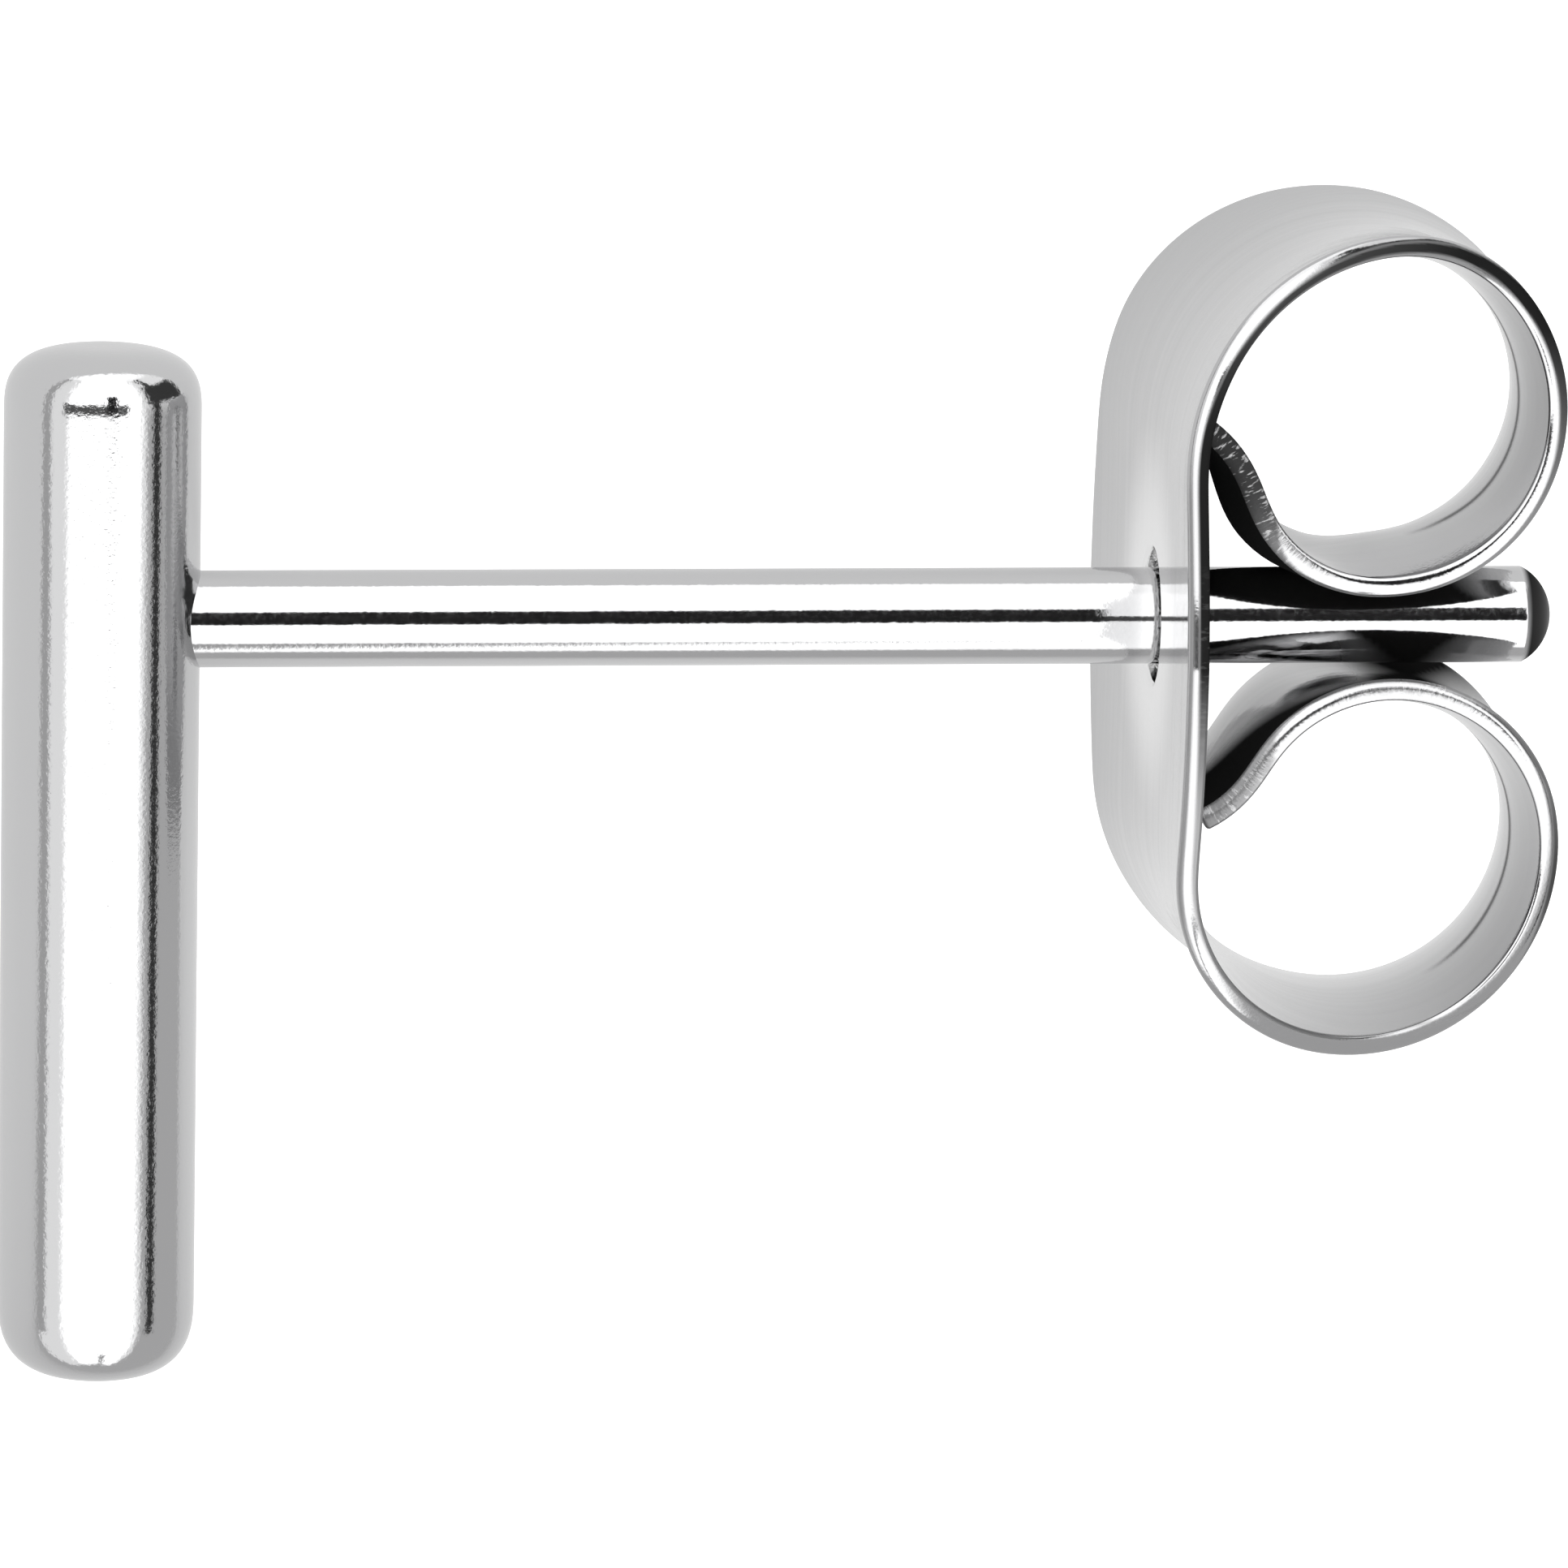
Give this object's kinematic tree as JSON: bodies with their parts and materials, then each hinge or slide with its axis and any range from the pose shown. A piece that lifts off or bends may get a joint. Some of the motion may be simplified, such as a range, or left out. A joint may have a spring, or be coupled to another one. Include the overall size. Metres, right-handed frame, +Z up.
{
  "type": "bar stud earring",
  "caption": "Round polished bar stud earring with a straight post and a butterfly friction clutch, lying at rest.",
  "frame": {"origin": "middle of the floor under the earring as it lies", "axes": "+Z up from the floor; +Y along the bar toward its top end; the post runs toward +X and rises 13 degrees"},
  "size_m": [0.0128, 0.0098, 0.0056],
  "materials": {
    "bar_post": "mirror-polished steel",
    "clutch": "polished pressed steel sheet with brushed cut edges"
  },
  "bodies": {
    "ornament": {"bar_post": "bar_post"},
    "back": {"clutch": "clutch"}
  },
  "joints": [
    {"name": "clutch_slide", "type": "slide", "parent": "ornament", "child": "back", "axis": [0.9744, 0, 0.2249], "range_m": [-0.0078, 0.0045]}
  ]
}
